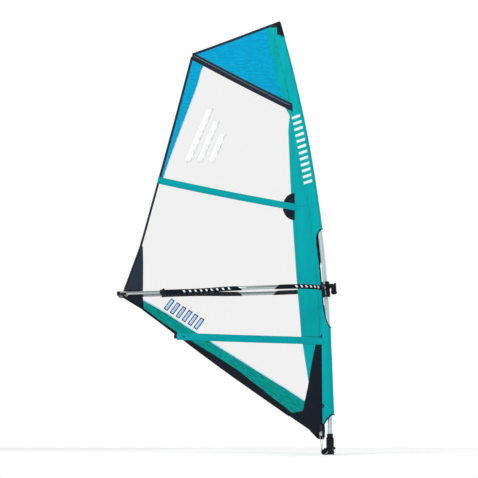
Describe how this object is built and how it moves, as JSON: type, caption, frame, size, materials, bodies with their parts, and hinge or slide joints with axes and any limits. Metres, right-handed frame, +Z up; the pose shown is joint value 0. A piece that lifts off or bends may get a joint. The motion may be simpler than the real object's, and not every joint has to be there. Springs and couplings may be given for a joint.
{
  "type": "windsurf sail rig",
  "caption": "Windsurf rig: bent mast on an extension, battened sail with clear windows, and a wishbone boom clamped to the mast.",
  "frame": {"origin": "mouth of the bore for the board's pin, at the bottom of the foot cup", "axes": "+Z up along the straight lower mast, -X aft towards the clew, +Y to the left side, the sail's lee side"},
  "size_m": [1.4928, 0.4252, 3.0002],
  "materials": {
    "black_plastic": "satin moulded",
    "aluminium": "anodised",
    "steel": "brushed",
    "grey_plastic": "satin",
    "teal_cloth": "coated sailcloth",
    "blue_cloth": "printed laminate",
    "green_cloth": "ripstop laminate",
    "film": "clear monofilm",
    "black_cloth": "coated sailcloth",
    "slate_cloth": "coated sailcloth",
    "navy_tape": "woven tape",
    "teal_pocket": "coated sailcloth",
    "batten": "glass fibre",
    "black_moulding": "satin",
    "line": "braided",
    "rubber": "matte",
    "foam_grip": "textured foam",
    "button_plastic": "satin"
  },
  "bodies": {
    "root": {"foot_cup": "black_plastic", "extension_tube": "aluminium", "downhaul_block": "black_plastic", "base_axle": "steel", "downhaul_cleat": "black_plastic"},
    "release_button": {"release_button": "black_plastic"},
    "base_sheave_right": {"base_sheave_right": "grey_plastic"},
    "base_sheave_left": {"base_sheave_left": "grey_plastic"},
    "rig": {"extension_collar": "black_plastic", "mast_bottom_section": "aluminium", "mast_ferrule": "aluminium", "mast_top_section": "aluminium", "mast_tip_plug": "black_plastic", "luff_sleeve_upper": "teal_cloth", "luff_sleeve_lower": "teal_cloth", "luff_web": "teal_cloth", "cutout_binding": "black_cloth", "luff_panel_head": "teal_cloth", "luff_panel_upper": "teal_cloth", "luff_panel_middle": "teal_cloth", "luff_panel_lower": "teal_cloth", "head_panel": "blue_cloth", "head_cap": "black_cloth", "edge_tape": "navy_tape", "leech_panel": "blue_cloth", "upper_window": "film", "middle_window": "film", "lower_window": "film", "foot_panel": "green_cloth", "foot_band": "black_cloth", "clew_patch": "slate_cloth", "tack_patch": "black_cloth", "luff_patch": "black_cloth", "top_pocket": "navy_tape", "middle_pocket": "teal_pocket", "lower_pocket": "teal_pocket", "top_batten": "batten", "middle_batten": "batten", "lower_batten": "batten", "batten_caps": "black_moulding", "clew_ring": "steel", "tack_ring": "steel", "tack_block": "steel", "downhaul_line": "line"},
    "collar_lever": {"collar_lever": "black_plastic"},
    "tack_sheave": {"tack_sheave": "grey_plastic"},
    "boom_head": {"boom_head": "black_plastic", "head_liner": "rubber", "pivot_bolts": "steel"},
    "mast_strap": {"mast_strap": "steel"},
    "clamp_lever": {"clamp_lever": "black_plastic"},
    "boom_frame": {"arm_sockets": "black_plastic", "left_arm": "aluminium", "right_arm": "aluminium", "boom_grips": "foam_grip", "arm_end_collars": "black_plastic"},
    "lock_button": {"right_lock_button": "button_plastic"},
    "boom_tail": {"tail_bow": "aluminium", "outhaul_line": "line"},
    "tail_sheave": {"tail_sheave": "grey_plastic"}
  },
  "joints": [
    {"name": "luff_adjust", "type": "slide", "parent": "root", "child": "rig", "axis": [0, 0, 1], "range_m": [0, 0.12], "deforming": ["downhaul_line"]},
    {"name": "release_press", "type": "slide", "parent": "root", "child": "release_button", "axis": [-1, 0, 0], "range_m": [0, 0.004], "stiffness_N_per_m": 400},
    {"name": "base_sheave_right_turn", "type": "hinge", "parent": "root", "child": "base_sheave_right", "pos_m": [-0.042, -0.0061, 0.017], "axis": [0, 1, 0], "continuous": true},
    {"name": "base_sheave_left_turn", "type": "hinge", "parent": "root", "child": "base_sheave_left", "pos_m": [-0.042, 0.0061, 0.017], "axis": [0, 1, 0], "continuous": true},
    {"name": "collar_lever_swing", "type": "hinge", "parent": "rig", "child": "collar_lever", "pos_m": [0, -0.031, 0.1], "axis": [-1, 0, 0], "range_deg": [0, 80]},
    {"name": "tack_sheave_turn", "type": "hinge", "parent": "rig", "child": "tack_sheave", "pos_m": [-0.057, 0, 0.137], "axis": [0, 1, 0], "continuous": true},
    {"name": "boom_height", "type": "slide", "parent": "rig", "child": "boom_head", "axis": [-0.0663, 0, 0.9978], "range_m": [-0.1, 0.12]},
    {"name": "boom_tilt", "type": "hinge", "parent": "boom_head", "child": "boom_frame", "pos_m": [-0.02918, 0, 1.12045], "axis": [0, 1, 0], "range_deg": [-5.2, 4.4]},
    {"name": "strap_slack", "type": "slide", "parent": "boom_head", "child": "mast_strap", "axis": [-0.9978, 0, -0.0663], "range_m": [0, 0.0013]},
    {"name": "clamp_lever_swing", "type": "hinge", "parent": "mast_strap", "child": "clamp_lever", "pos_m": [0.02364, 0, 1.14], "axis": [0, -1, 0], "range_deg": [0, 85]},
    {"name": "boom_extension", "type": "slide", "parent": "boom_frame", "child": "boom_tail", "axis": [-0.9995, 0, -0.0314], "range_m": [0, 0.1], "deforming": ["outhaul_line"]},
    {"name": "lock_press", "type": "slide", "parent": "boom_frame", "child": "lock_button", "axis": [0.0314, 0, -0.9995], "range_m": [0, 0.002], "stiffness_N_per_m": 300},
    {"name": "tail_sheave_turn", "type": "hinge", "parent": "boom_tail", "child": "tail_sheave", "pos_m": [-1.42049, 0, 1.07673], "axis": [-0.0314, 0, 0.9995], "continuous": true}
  ],
  "couplings": [
    {"joint": "boom_tilt", "follows": "boom_height", "rad_per_m": -0.72},
    {"joint": "strap_slack", "follows": "clamp_lever_swing", "m_per_rad": 0.00081}
  ]
}
